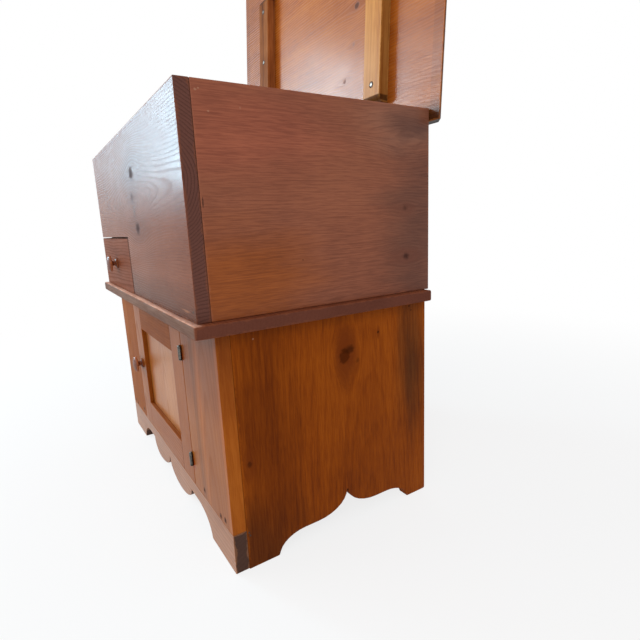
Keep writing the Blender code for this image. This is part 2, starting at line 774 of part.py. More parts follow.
def add_leaf(name, size, tabs, way, anchor, shop, turn):
    """One leaf with its knuckles. Its plate lies on the given side of the pin."""
    across = Matrix(((0, 0, 1), (1, 0, 0), (0, 1, 0)))
    rotation = (turn @ across).to_euler()
    offset = way * (size.gap + LEAF_THICKNESS) / 2
    mesh = outline_mesh(name, leaf_outline(size, tabs), LEAF_THICKNESS)
    mesh.transform(Matrix.Translation((0, 0, offset)))
    leaf = put(name, mesh, anchor, shop, rotation)
    for index, (low, high) in enumerate(tabs):
        tool = f"{name}_knuckle_{index + 1}"
        knuckle = rod_mesh(tool, size.barrel, high - low)
        knuckle.transform(Matrix.Translation((0, 0, (low + high) / 2)))
        combine(leaf, put(tool, knuckle, anchor, shop, turn.to_euler(), helper=True), "UNION")
    bore = size.pin + PIN_CLEARANCE
    cut_bore(leaf, f"{name}_bore", shop, bore, 2 * size.length, anchor, turn.to_euler())
    finish(leaf, IRON_BLACK, IRON_ROUGH, IRON_METAL)


def add_hinge(name, size, fixed, moving, shop, turn):
    """A three-knuckle butt hinge: outer knuckles on the fixed leaf, the middle one on the other.

    fixed and moving are each an anchor and the piece that is let out for the leaf.
    turn takes the hinge's own axes to the shop's: Z along the pin, Y along the leaves.
    """
    third = size.length / 6
    half = size.length / 2
    outer = [(third + KNUCKLE_GAP, half), (-half, -third - KNUCKLE_GAP)]
    middle = [(-third, third)]
    add_leaf(f"{name}_fixed_leaf", size, outer, 1, fixed[0], shop, turn)
    add_leaf(f"{name}_moving_leaf", size, middle, -1, moving[0], shop, turn)

    high = half + KNUCKLE_GAP
    tip = quarter((0, high), (size.barrel, PIN_TIP), 90, 0, PIN_TIP_STEPS)[1:]
    upper = [(0, high + PIN_TIP)] + tip + [(size.pin, high)]
    profile = upper + [(radius, -height) for radius, height in reversed(upper)]
    pin = add_turned(f"{name}_pin", profile, fixed[0], shop, turn.to_euler())
    finish(pin, IRON_BLACK, IRON_ROUGH, IRON_METAL)

    room = LEAF_THICKNESS + FIT + size.gap / 2
    reach = size.leaf + FIT + size.barrel
    for way, (anchor, piece) in ((1, fixed), (-1, moving)):
        tool = f"{name}_mortise_{piece.name}"
        slot = cube_mesh(tool, (room, reach, size.length + 2 * FIT))
        slot.transform(Matrix.Translation((way * room / 2, reach / 2 - size.barrel, 0)))
        combine(piece, put(tool, slot, anchor, shop, turn.to_euler(), helper=True))
        length = size.length + 2 * (KNUCKLE_GAP + PIN_TIP + RELIEF)
        radius = size.barrel + RELIEF
        cut_bore(piece, f"{tool}_relief", shop, radius, length, anchor, turn.to_euler())


def build_door_hinges(case_stile, door_stile):
    leaf = FRAME_THICKNESS + DOOR_PIN_STANDOFF - DOOR_LEAF_MARGIN
    size = HingeSize(DOOR_HINGE_LENGTH, leaf, DOOR_BARREL_RADIUS, DOOR_PIN_RADIUS, DOOR_SIDE_GAP)
    upright = Matrix.Identity(3)
    for word, height in (
        ("upper", DOOR_HIGH - DOOR_HINGE_FROM_TOP),
        ("lower", DOOR_LOW + DOOR_HINGE_FROM_FOOT),
    ):
        shop = Vector((DOOR_AXIS.x, DOOR_AXIS.y, height))
        add_hinge(f"door_hinge_{word}", size, (FRAME, case_stile), (DOOR, door_stile), shop, upright)


def lid_panel_mesh(half, front, rear):
    """The panel from its underside up: square at the rear, bevelled at the front and both ends."""
    lip = LID_UNDER + LID_THICKNESS - LID_BEVEL_DEPTH
    face = LID_UNDER + LID_THICKNESS
    inner = half - LID_BEVEL_RUN
    inner_front = front + LID_BEVEL_RUN
    around = [(-half, rear), (-half, front), (half, front), (half, rear)]
    inset = [(-inner, rear), (-inner, inner_front), (inner, inner_front), (inner, rear)]
    points = [(x, y, LID_UNDER) for x, y in around]
    points += [(x, y, lip) for x, y in around]
    points += [(x, y, face) for x, y in inset]
    faces = [(0, 1, 2, 3), (8, 11, 10, 9), (0, 3, 7, 11, 8, 4)]
    for left, right in ((0, 1), (1, 2), (2, 3)):
        faces.append((left, left + 4, right + 4, right))
        faces.append((left + 4, left + 8, right + 8, right + 4))
    mesh = bpy.data.meshes.new("lid_panel")
    mesh.from_pydata(points, [], faces)
    shape = bmesh.new()
    shape.from_mesh(mesh)
    bmesh.ops.recalc_face_normals(shape, faces=shape.faces)
    shape.to_mesh(mesh)
    shape.free()
    mesh.transform(Matrix.Translation(-LID_AXIS))
    return mesh


def build_lid():
    """A panel bevelled along its front and ends, with two round-ended battens screwed beneath it."""
    half = WELL_HALF + LID_END_OVERHANG
    front = LID_AXIS.y - LID_FRONT_REACH
    rear = LID_AXIS.y + LID_REAR_REACH
    panel = put("lid_panel", lid_panel_mesh(half, front, rear), LID, LID_AXIS)
    round_edges(panel, EDGE_ROUND)
    finish(panel, LID_ROSE)

    batten_rear = WELL_BACK_INNER - BATTEN_REAR_CLEAR
    batten_front = WELL_BOARD + BATTEN_FRONT_CLEAR
    top = LID_UNDER - FIT
    low = top - BATTEN_THICKNESS
    turn = math.radians(BATTEN_END_TURN)
    end_radii = (BATTEN_END_RUN / (1 - math.cos(turn)), BATTEN_END_RISE / math.sin(turn))
    end_height = low + BATTEN_END_RISE
    outline = [(batten_front, top)]
    outline += quarter((batten_front + end_radii[0], end_height), end_radii, 180, 180 + BATTEN_END_TURN)
    outline += quarter((batten_rear - end_radii[0], end_height), end_radii, 360 - BATTEN_END_TURN, 360)
    outline.append((batten_rear, top))
    for word, way in (("left", -1), ("right", 1)):
        name = f"lid_batten_{word}"
        middle = (way * BATTEN_CENTRE, 0, 0)
        add_outline_board(name, outline, BATTEN_WIDTH, LID, middle, LATERAL, BATTEN_GOLD)
    return panel


def build_lid_hinges(well_back, panel):
    leaf = WELL_BOARD + LID_PIN_SETBACK - LID_LEAF_MARGIN
    size = HingeSize(LID_HINGE_LENGTH, leaf, LID_BARREL_RADIUS, LID_PIN_RADIUS, LID_SEAT_GAP)
    flat = Matrix(((0, 0, -1), (0, -1, 0), (-1, 0, 0)))
    for word, way in (("left", -1), ("right", 1)):
        centre = way * (WELL_INNER_HALF - LID_HINGE_FROM_SIDE)
        shop = Vector((centre, LID_AXIS.y, LID_AXIS.z))
        add_hinge(f"lid_hinge_{word}", size, (FRAME, well_back), (LID, panel), shop, flat)


def build():
    case_stile = build_case()
    build_deck()
    well_back = build_well()
    build_drawer_housing()
    build_drawer()
    door_stile = build_door()
    build_door_hinges(case_stile, door_stile)
    panel = build_lid()
    build_lid_hinges(well_back, panel)


build()
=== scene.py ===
"""Dry sink in stained pine: wood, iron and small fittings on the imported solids, on a pale floor."""

import json
import math
import random

import bmesh
import bpy
from mathutils import Matrix, Vector


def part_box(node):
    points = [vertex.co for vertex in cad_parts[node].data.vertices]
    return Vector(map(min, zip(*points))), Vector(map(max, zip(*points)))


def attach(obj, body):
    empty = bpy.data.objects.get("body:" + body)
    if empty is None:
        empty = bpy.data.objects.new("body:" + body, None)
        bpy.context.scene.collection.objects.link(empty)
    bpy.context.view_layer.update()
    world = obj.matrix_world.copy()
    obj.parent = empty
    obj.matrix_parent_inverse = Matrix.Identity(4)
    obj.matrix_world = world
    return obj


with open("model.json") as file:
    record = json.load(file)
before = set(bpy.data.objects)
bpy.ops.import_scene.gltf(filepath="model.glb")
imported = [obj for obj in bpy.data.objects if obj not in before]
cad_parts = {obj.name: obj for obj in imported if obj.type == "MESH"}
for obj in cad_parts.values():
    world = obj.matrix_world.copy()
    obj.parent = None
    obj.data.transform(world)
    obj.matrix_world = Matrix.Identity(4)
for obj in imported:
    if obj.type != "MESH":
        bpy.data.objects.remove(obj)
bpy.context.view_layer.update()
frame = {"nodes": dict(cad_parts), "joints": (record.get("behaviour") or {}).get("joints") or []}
NODES = frame["nodes"]

AXES = {"X": Vector((1, 0, 0)), "Y": Vector((0, 1, 0)), "Z": Vector((0, 0, 1))}
FRONT = Vector((0, -1, 0))
RIGHT = Vector((1, 0, 0))
UP = Vector((0, 0, 1))

# The faces that carry marks: the well's front, and the right sides of the well and of the case.
FRONT_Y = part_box("well_front")[0].y
WELL_X = 0.4025
CASE_X = 0.3975

# The open lid: its hinge line, its turn from flat, its lean from upright, and the directions up
# along it and out of its underside.
SWING = next(joint for joint in frame["joints"] if joint["name"] == "lid_swing")
LID_AXIS = Vector(SWING["pos_m"])
LID_OPEN = -math.radians(SWING["range_deg"][1])
LID_LEAN = -LID_OPEN - math.pi / 2
LID_UP = Vector((0, math.sin(LID_LEAN), math.cos(LID_LEAN)))
LID_OUT = Vector((0, -LID_UP.z, LID_UP.y))


def at(x, depth, z):
    """A point given by its depth behind the well's front face."""
    return Vector((x, FRONT_Y + depth, z))


def on_front(x, z):
    return at(x, 0.0, z)


def on_well(depth, z):
    return at(WELL_X, depth, z)


def on_case(depth, z):
    return at(CASE_X, depth, z)


def lid_at(x, reach, out=0.0):
    """A point of the open lid, reach above the hinge line and out from its underside."""
    return LID_AXIS + Vector((x, 0, 0)) + reach * LID_UP + out * LID_OUT


def link(name, data):
    """A new object in the scene."""
    thing = bpy.data.objects.new(name, data)
    bpy.context.scene.collection.objects.link(thing)
    return thing


class Graph:
    """Empties one node tree, adds nodes to it and links them."""

    def __init__(self, tree):
        tree.nodes.clear()
        self.tree = tree

    def put(self, socket, value):
        if isinstance(value, bpy.types.NodeSocket):
            self.tree.links.new(value, socket)
        else:
            socket.default_value = value

    def add(self, kind, inputs=None, **settings):
        node = self.tree.nodes.new(kind)
        for name, value in settings.items():
            setattr(node, name, value)
        for name, value in (inputs or {}).items():
            self.put(node.inputs[name], value)
        return node

    def math(self, operation, a, b=0.0, clamp=False):
        node = self.add("ShaderNodeMath", {0: a, 1: b}, operation=operation, use_clamp=clamp)
        return node.outputs[0]

    def vector(self, operation, a, b=(0.0, 0.0, 0.0)):
        return self.add("ShaderNodeVectorMath", {0: a, 1: b}, operation=operation).outputs[0]

    def length(self, a):
        return self.add("ShaderNodeVectorMath", {0: a}, operation="LENGTH").outputs["Value"]

    def parts(self, a):
        return self.add("ShaderNodeSeparateXYZ", {0: a}).outputs

    def join(self, x, y, z):
        return self.add("ShaderNodeCombineXYZ", {0: x, 1: y, 2: z}).outputs[0]

    def weigh(self, *terms):
        """The sum of terms, each a value less its middle and times its weight."""
        total = 0.0
        for value, middle, weight in terms:
            part = self.math("MULTIPLY", self.math("SUBTRACT", value, middle), weight)
            total = self.math("ADD", total, part)
        return total

    def noise(self, place, stretch, detail=2.0, roughness=0.5):
        """Noise between 0 and 1, with stretch features per metre along each axis."""
        scaled = self.vector("MULTIPLY", place, stretch)
        settings = {"Vector": scaled, "Scale": 1.0, "Detail": detail, "Roughness": roughness}
        return self.add("ShaderNodeTexNoise", settings).outputs[0]

    def oval(self, place, centre, size):
        """Distance from a centre on a board's face, in half sizes of an oval."""
        gap = self.vector("SUBTRACT", place, centre)
        x, y, _ = self.parts(self.vector("DIVIDE", gap, (*size, 1.0)))
        return self.length(self.join(x, y, 0.0))

    def spread(self, value, low, high, to_low=0.0, to_high=1.0):
        """A smooth step of value from low..high to to_low..to_high."""
        inputs = {"Value": value, "From Min": low, "From Max": high}
        inputs |= {"To Min": to_low, "To Max": to_high}
        return self.add("ShaderNodeMapRange", inputs, interpolation_type="SMOOTHSTEP").outputs[0]

    def ramp(self, value, stops):
        node = self.add("ShaderNodeValToRGB", {0: value})
        elements = node.color_ramp.elements
        while len(elements) < len(stops):
            elements.new(1.0)
        for element, (position, colour) in zip(elements, stops):
            element.position = position
            element.color = (*colour, 1.0)
        return node.outputs[0]

    def mix(self, share, a, b, blend="MIX"):
        node = self.add("ShaderNodeMix", data_type="RGBA", blend_type=blend)
        self.put(node.inputs[0], share)
        self.put(node.inputs[6], a)
        self.put(node.inputs[7], b)
        return node.outputs[2]


def new_group(name, inputs, outputs):
    """An empty node group, from the names of its sockets and their kinds."""
    tree = bpy.data.node_groups.new(name, "ShaderNodeTree")
    for way, sockets in (("INPUT", inputs), ("OUTPUT", outputs)):
        for label, kind in sockets.items():
            tree.interface.new_socket(label, in_out=way, socket_type="NodeSocket" + kind)
    graph = Graph(tree)
    source = graph.add("NodeGroupInput")
    sink = graph.add("NodeGroupOutput")
    return graph, source.outputs, sink.inputs


def make_grain_group():
    """Growth rings round a bowed pith, with fibres, streaks, bands, blotches and ticks along it."""
    inputs = {"Place": "Vector", "Seed": "Float", "Eye": "Vector", "Bow": "Float", "Tilt": "Float",
              "Reach": "Float", "Spacing": "Float"}
    outputs = dict.fromkeys(("Ring", "Fibre", "Streak", "Band", "Blotch", "Tick"), "Float")
    g, source, sink = new_group("grain", inputs, outputs)
    seed = source["Seed"]
    shift = g.join(g.math("MULTIPLY", seed, 3.7), seed, g.math("MULTIPLY", seed, 2.3))
    own = g.vector("ADD", source["Place"], shift)

    # The pith wanders across the board and sinks away from the eye of the figure.
    wander = g.noise(own, (2.2, 9.0, 9.0), 2.0)
    ripple = g.noise(own, (9.0, 42.0, 42.0), 2.0)
    along, across, into = g.parts(g.vector("SUBTRACT", source["Place"], source["Eye"]))
    across = g.math("ADD", across, g.weigh((wander, 0.5, 0.030), (ripple, 0.5, 0.0045)))
    far = g.math("DIVIDE", along, source["Reach"])
    bulge = g.math("MULTIPLY", g.math("MULTIPLY", along, along), source["Bow"])
    bulge = g.math("DIVIDE", bulge, g.math("ADD", g.math("MULTIPLY", far, far), 1.0))
    depth = g.math("ADD", g.math("ADD", into, bulge), g.math("MULTIPLY", along, source["Tilt"]))
    turns = g.math("DIVIDE", g.length(g.join(0.0, across, depth)), source["Spacing"])
    uneven = g.noise(own, (5.0, 26.0, 26.0), 1.0)
    phase = g.math("FRACT", g.math("ADD", turns, g.math("MULTIPLY", uneven, 0.9)))

    # Each ring darkens slowly and ends sharply.
    rise = g.spread(phase, 0.30, 0.88)
    fall = g.spread(phase, 0.90, 1.0, 1.0, 0.0)
    g.put(sink["Ring"], g.math("MULTIPLY", g.math("MULTIPLY", rise, rise), fall))
    g.put(sink["Fibre"], g.noise(own, (16.0, 1150.0, 1150.0), 3.0, 0.6))
    g.put(sink["Streak"], g.noise(own, (3.2, 130.0, 130.0), 3.0, 0.62))
    g.put(sink["Band"], g.noise(own, (1.1, 34.0, 34.0), 2.0, 0.5))
    cloud = g.noise(own, (2.6, 8.0, 8.0), 3.0, 0.55)
    figure = g.noise(own, (13.0, 4.5, 4.5), 2.0, 0.5)
    g.put(sink["Blotch"], g.weigh((cloud, 0.0, 0.62), (figure, 0.0, 0.38)))
    g.put(sink["Tick"], g.spread(g.noise(own, (36.0, 480.0, 480.0), 2.0, 0.55), 0.36, 0.66))
    return g.tree


def make_knot_group():
    """One knot: it pushes the grain aside and gives masks of its core and of the stain round it."""
    inputs = {"Place": "Vector", "Centre": "Vector", "Radius": "Float", "Soft": "Float"}
    outputs = {"Place": "Vector", "Core": "Float", "Halo": "Float"}
    g, source, sink = new_group("knot", inputs, outputs)
    along, across, _ = g.parts(g.vector("SUBTRACT", source["Place"], source["Centre"]))
    along = g.math("DIVIDE", along, source["Radius"])
    across = g.math("DIVIDE", across, source["Radius"])
    rough = g.weigh((g.noise(source["Place"], (160.0, 160.0, 4.0), 2.0), 0.5, 0.7))

    def distance(along_share, across_share=1.0):
        x = g.math("MULTIPLY", along, along_share)
        y = g.math("MULTIPLY", across, across_share)
        return g.length(g.join(x, y, 0.0))

    flow = distance(0.22, 0.42)
    pull = g.math("EXPONENT", g.math("MULTIPLY", g.math("MULTIPLY", flow, flow), -1.0))
    shift = g.math("MULTIPLY", across, source["Radius"])
    shift = g.math("MULTIPLY", shift, g.math("MULTIPLY", pull, -0.80))
    g.put(sink["Place"], g.vector("ADD", source["Place"], g.join(0.0, shift, 0.0)))
    near = g.math("ADD", distance(0.82), rough)
    g.put(sink["Core"], g.spread(near, g.math("SUBTRACT", 1.0, source["Soft"]), 1.06, 1.0, 0.0))
    g.put(sink["Halo"], g.spread(g.math("ADD", distance(0.34), rough), 0.8, 2.3, 1.0, 0.0))
    return g.tree


def make_edge_group():
    """Distance to the nearest edge of a board, from its half sizes."""
    inputs = {"Place": "Vector", "Half": "Vector"}
    g, source, sink = new_group("edge", inputs, {"Distance": "Float"})
    a, b, c = g.parts(g.vector("SUBTRACT", source["Half"], g.vector("ABSOLUTE", source["Place"])))
    low = g.math("MINIMUM", a, b)
    high = g.math("MAXIMUM", a, b)
    g.put(sink["Distance"], g.math("MAXIMUM", low, g.math("MINIMUM", high, c)))
    return g.tree


GRAIN = make_grain_group()
KNOT = make_knot_group()
EDGE = make_edge_group()

# Base colours of each stain, from its lightest wood to its darkest line.
STAINS = {
    "well": ((0.355, 0.116, 0.056), (0.253, 0.078, 0.039),
             (0.160, 0.045, 0.023), (0.065, 0.018, 0.011)),
    "well_front": ((0.250, 0.078, 0.036), (0.180, 0.051, 0.022),
                   (0.118, 0.030, 0.015), (0.050, 0.014, 0.009)),
    "side": ((0.365, 0.082, 0.004), (0.258, 0.051, 0.002),
             (0.155, 0.027, 0.002), (0.060, 0.012, 0.002)),
    "front": ((0.312, 0.084, 0.008), (0.238, 0.056, 0.003),
              (0.180, 0.036, 0.003), (0.080, 0.016, 0.004)),
    "panel": ((0.445, 0.160, 0.033), (0.350, 0.108, 0.016),
              (0.260, 0.062, 0.010), (0.112, 0.026, 0.006)),
    "rail": ((0.240, 0.064, 0.010), (0.176, 0.041, 0.005),
             (0.130, 0.028, 0.004), (0.058, 0.013, 0.003)),
    "deck": ((0.250, 0.075, 0.034), (0.175, 0.048, 0.022),
             (0.105, 0.028, 0.014), (0.045, 0.013, 0.008)),
    "lid": ((0.490, 0.148, 0.022), (0.392, 0.102, 0.012),
            (0.270, 0.060, 0.009), (0.115, 0.025, 0.008)),
    "batten": ((0.660, 0.295, 0.070), (0.550, 0.215, 0.040),
               (0.400, 0.128, 0.019), (0.165, 0.044, 0.009)),
    "far_batten": ((0.350, 0.125, 0.038), (0.232, 0.072, 0.019),
                   (0.120, 0.034, 0.011), (0.056, 0.015, 0.006)),
    # Paler and greyer than the front stain, which paints in part of the apron's sheen.
    "apron": ((0.385, 0.155, 0.066), (0.296, 0.110, 0.044),
              (0.172, 0.051, 0.017), (0.080, 0.020, 0.007)),
    "inner": ((0.430, 0.205, 0.090), (0.320, 0.140, 0.056),
              (0.205, 0.080, 0.030), (0.090, 0.032, 0.013)),
    "knob": ((0.420, 0.120, 0.030), (0.310, 0.078, 0.018),
             (0.160, 0.036, 0.011), (0.055, 0.013, 0.006)),
    "plug": ((0.240, 0.090, 0.040), (0.170, 0.058, 0.028),
             (0.100, 0.036, 0.020), (0.040, 0.016, 0.012)),
    # Painted shade in place of the counterbores of the batten screws.
    "bore": ((0.090, 0.034, 0.012), (0.055, 0.020, 0.008),
             (0.030, 0.011, 0.005), (0.014, 0.006, 0.004)),
}

# Gloss of each finish: specular level and roughness. Only the knobs have a coat, given by its
# weight and roughness.
GLOSS = {
    "well": (0.18, 0.32),
    "well_front": (0.04, 0.26),
    "drawer": (0.01, 0.36),
    "side": (0.05, 0.38),
    "front": (0.12, 0.36),
    "apron": (0.30, 0.34),
    "panel": (0.30, 0.32),
    "rail": (0.02, 0.40),
    "deck": (0.02, 0.36),
    "lid": (0.24, 0.23),
    "batten": (0.14, 0.34),
    "far_batten": (0.02, 0.42),
    "inner": (0.12, 0.55),
    "knob": (0.22, 0.24),
}
COATS = {"knob": (0.08, 0.12)}
NO_COAT = (0.0, 0.3)

# Where a board's tone starts, and what each feature adds to its tone, roughness and relief.
TONE_START, TONE_BLOTCH, TONE_STREAK, TONE_FIBRE = 0.33, 1.1, 0.8, 0.7
ROUGH_CLOUD, ROUGH_FIBRE, ROUGH_WORN = 0.16, 0.10, 0.18
ROUGH_SCUFF, ROUGH_RING, ROUGH_KNOT = 0.40, 0.7, 0.50
RELIEF_RING, RELIEF_FIBRE, RELIEF_WAVE, RELIEF_KNOT = -0.30, 0.40, 0.55, -0.6
BUMP_STRENGTH, BUMP_HEIGHT = 0.22, 0.0006
RIM_BLUR = 0.0015


class Board:
    """The frame of one wooden mesh: u along the grain, v across it and w out of its face."""

    def __init__(self, mesh, grain, face, turn=0.0):
        turned = Matrix.Rotation(turn, 3, "X")
        u = turned @ AXES[grain]
        w = turned @ AXES[face]
        v = w.cross(u)
        self.rows = Matrix((u, v, w))
        places = [self.rows @ vertex.co for vertex in mesh.vertices]
        low = Vector([min(p[i] for p in places) for i in range(3)])
        high = Vector([max(p[i] for p in places) for i in range(3)])
        self.middle = (low + high) / 2
        self.half = (high - low) / 2

    def place(self, x, y, z):
        """A point of the row frame in this board's own frame."""
        return self.rows @ Vector((x, y, z)) - self.middle


def new_material(name):
    material = bpy.data.materials.new(name)
    material.use_nodes = True
    return material, Graph(material.node_tree)


def locate(g, board):
    """The place on a board in its own frame, and masks of its end grain and of its sides."""
    source = g.add("ShaderNodeTexCoord").outputs
    turn = board.rows.to_euler("XYZ")
    inputs = {"Vector": source["Object"], "Location": -board.middle, "Rotation": turn}
    place = g.add("ShaderNodeMapping", inputs, vector_type="POINT").outputs[0]
    inputs = {"Vector": source["Normal"], "Rotation": turn}
    facing = g.add("ShaderNodeMapping", inputs, vector_type="VECTOR").outputs[0]
    along, across, _ = g.parts(g.vector("ABSOLUTE", facing))
    return place, g.spread(along, 0.55, 0.85), g.spread(across, 0.50, 0.69)


def grow_knots(g, place, knots):
    """The place as knots push it aside, and each knot's core, halo and darkness."""
    cores = []
    for centre, radius, darkness, soft in knots:
        inputs = {"Place": place, "Centre": centre, "Radius": radius, "Soft": soft}
        knot = g.add("ShaderNodeGroup", inputs, node_tree=KNOT).outputs
        place = knot["Place"]
        cores.append((knot["Core"], knot["Halo"], darkness))
    return place, cores


def end_grain_colour(g, place, ring, blotch, dark, shade, grey, rings):
    shaded = [shade * (0.7 * c + grey * (dark[0] + dark[2])) for c in dark]
    pores = g.noise(place, (500.0, 500.0, 500.0), 2.0, 0.6)
    tone = g.weigh((ring, 0.0, rings), (blotch, 0.0, 0.40), (pores, 0.0, 0.30))
    return g.ramp(tone, [(0.2, [1.30 * c for c in shaded]), (0.7, [0.50 * c for c in shaded])])


def worn_edges(g, place, half, wear):
    """A ragged mask along a board's edges."""
    edge = g.add("ShaderNodeGroup", {"Place": place, "Half": half}, node_tree=EDGE)
    distance = edge.outputs["Distance"]
    ragged = g.weigh((g.noise(place, (60.0, 60.0, 60.0), 3.0, 0.65), 0.52, 0.014))
    return g.spread(g.math("SUBTRACT", distance, ragged), 0.0008, 0.0036, wear, 0.0)


def wood(name, board, stain, gloss, seed, spacing=0.006, eye=(0.0, 0.0, -0.06), bow=0.05, reach=9.0,
         tilt=0.02, rings=0.2, contrast=1.0, streaks=0.7, ticks=0.14, knots=(), tints=(), marks=(),
         end_shade=0.8, end_grey=0.15, end_rings=0.12, wear=0.4, flank=1.0, flank_rough=0.26,
         relief=1.0, rim=None):
    """Stained and varnished pine on one board. Knots are (place, radius, darkness, softness), tints
    are soft patches of stain or of painted light and shade (place, size, factor), and marks are small
    chips and scratches (place, size, colour). Painted side shading is a factor of painted shade or
    light on the sides of the board, and rim is the width and the factor of a strip at both ends of
    its faces."""
    chance = random.Random(seed)
    material, g = new_material(name)
    light, middle, dark, deep = STAINS[stain]
    specular, roughness = GLOSS[gloss]
    coat, coat_roughness = COATS.get(gloss, NO_COAT)
    place, end_grain, side_grain = locate(g, board)
    flow, cores = grow_knots(g, place, knots)
    inputs = {"Place": flow, "Seed": chance.uniform(1.0, 9.0), "Eye": eye, "Bow": bow,
              "Reach": reach, "Tilt": tilt, "Spacing": spacing}
    grain = g.add("ShaderNodeGroup", inputs, node_tree=GRAIN)
    ring, fibre, streak, band, blotch, tick = grain.outputs

    tone = g.weigh((blotch, 0.5, TONE_BLOTCH * contrast),
                   (band, 0.5, TONE_STREAK * contrast * streaks),
                   (streak, 0.5, TONE_STREAK * contrast * streaks),
                   (fibre, 0.5, TONE_FIBRE * contrast), (ring, 0.0, rings), (tick, 0.4, ticks))
    tone = g.math("ADD", tone, TONE_START, clamp=True)
    colour = g.ramp(tone, [(0.05, light), (0.40, middle), (0.74, dark), (1.0, deep)])

    for centre, size, factor in tints:
        cloudy = g.weigh((g.noise(place, (4.0, 22.0, 22.0), 3.0), 0.5, 0.9))
        mask = g.spread(g.math("ADD", g.oval(place, centre, size), cloudy), 0.15, 1.0, 1.0, 0.0)
        colour = g.mix(mask, colour, (*factor, 1.0), "MULTIPLY")
    for core, halo, darkness in cores:
        colour = g.mix(g.math("MULTIPLY", halo, 0.75 * darkness), colour, (*dark, 1.0))
        colour = g.mix(g.math("MULTIPLY", core, darkness), colour, (*[0.45 * c for c in deep], 1.0))
    if rim:
        width, factor = rim
        inner = board.half.x - width
        strip = g.spread(g.math("ABSOLUTE", g.parts(place)[0]), inner - RIM_BLUR, inner + RIM_BLUR)
        colour = g.mix(strip, colour, (*factor, 1.0), "MULTIPLY")
    # Painted shade or light on the sides of the board.
    if flank != 1.0:
        colour = g.mix(side_grain, colour, (flank, flank, flank, 1.0), "MULTIPLY")
    ends = end_grain_colour(g, place, ring, blotch, dark, end_shade, end_grey, end_rings)
    colour = g.mix(end_grain, colour, ends)
    worn = worn_edges(g, place, board.half, wear)
    colour = g.mix(worn, colour, (*light, 1.0))

    scuffs = 0.0
    for centre, size, paint in marks:
        ragged = g.weigh((g.noise(place, (420.0, 420.0, 420.0), 2.0), 0.5, 1.1))
        mask = g.spread(g.math("ADD", g.oval(place, centre, size), ragged), 0.45, 1.15, 0.75, 0.0)
        colour = g.mix(mask, colour, (*paint, 1.0))
        scuffs = g.math("MAXIMUM", mask, scuffs)

    cloud = g.noise(place, (9.0, 16.0, 16.0), 4.0, 0.6)
    waves = g.noise(place, (22.0, 60.0, 60.0), 2.0)
    sawn = g.math("MAXIMUM", end_grain, side_grain)
    satin = [(cloud, 0.5, ROUGH_CLOUD), (fibre, 0.5, ROUGH_FIBRE), (worn, 0.0, ROUGH_WORN),
             (scuffs, 0.0, ROUGH_SCUFF), (ring, 0.0, ROUGH_RING * rings), (sawn, 0.0, flank_rough)]
    height = [(ring, 0.0, RELIEF_RING), (fibre, 0.0, RELIEF_FIBRE), (waves, 0.0, RELIEF_WAVE)]
    for core, _, darkness in cores:
        satin.append((core, 0.0, ROUGH_KNOT * darkness))
        height.append((core, 0.0, RELIEF_KNOT * darkness))
    inputs = {"Height": g.weigh(*height), "Strength": BUMP_STRENGTH * relief,
              "Distance": BUMP_HEIGHT}
    bump = g.add("ShaderNodeBump", inputs).outputs[0]
    finish = g.math("ADD", g.weigh(*satin), roughness)
    inputs = {"Base Color": colour, "Roughness": finish, "Normal": bump,
              "Specular IOR Level": specular, "Coat Weight": coat, "Coat Roughness": coat_roughness}
    shader = g.add("ShaderNodeBsdfPrincipled", inputs)
    g.add("ShaderNodeOutputMaterial", {"Surface": shader.outputs[0]})
    return material


def iron(name, base, roughness):
    """Old blackened iron: rubbed bright in patches, with a little brown rust."""
    material, g = new_material(name)
    place = g.add("ShaderNodeTexCoord").outputs["Object"]
    patch = g.noise(place, (140.0, 140.0, 140.0), 4.0, 0.6)
    fleck = g.noise(place, (900.0, 900.0, 900.0), 2.0, 0.5)
    dull, bright = [[share * c for c in base] for share in (0.35, 2.2)]
    colour = g.ramp(patch, [(0.35, dull), (0.50, base), (0.68, bright)])
    colour = g.mix(g.spread(fleck, 0.60, 0.72, 0.0, 0.7), colour, (0.055, 0.022, 0.010, 1.0))
    gloss = g.math("ADD", g.weigh((patch, 0.5, -0.3)), roughness)
    inputs = {"Height": fleck, "Strength": 0.25, "Distance": 0.0002}
    bump = g.add("ShaderNodeBump", inputs).outputs[0]
    inputs = {"Base Color": colour, "Roughness": gloss, "Normal": bump, "Metallic": 1.0}
    shader = g.add("ShaderNodeBsdfPrincipled", inputs)
    g.add("ShaderNodeOutputMaterial", {"Surface": shader.outputs[0]})
    return material


def coat_mesh(mesh, material):
    mesh.materials.clear()
    mesh.materials.append(material)


def clad(mesh, name, grain, face, stain, gloss=None, seed=1, turn=0.0, **settings):
    """Gives a mesh a wood of its own. Places in the settings are points of the row frame."""
    board = Board(mesh, grain, face, turn)
    for kind in ("knots", "tints", "marks"):
        settings[kind] = [(board.place(*p), *rest) for p, *rest in settings.get(kind, ())]
    if "eye_at" in settings:
        spot = board.place(*settings.pop("eye_at"))
        settings["eye"] = (spot.x, spot.y, -settings.pop("pith", 0.05) - board.half.z)
    coat_mesh(mesh, wood(name, board, stain, gloss or stain, seed, **settings))


SEEDS = iter(range(11, 900, 7))


def plank(node, *choices, **settings):
    """Gives a CAD node its wood, with the next seed."""
    clad(NODES[node].data, node, *choices, seed=next(SEEDS), **settings)


# Colours of bare chips and of dark gaps, and the factor of the painted shadows that the door hinges'
# barrels cast on the stile.
PALE = (0.42, 0.20, 0.12)
GAP = (0.020, 0.008, 0.006)
HINGE_SHADOW = (1.05, 0.50, 0.12)


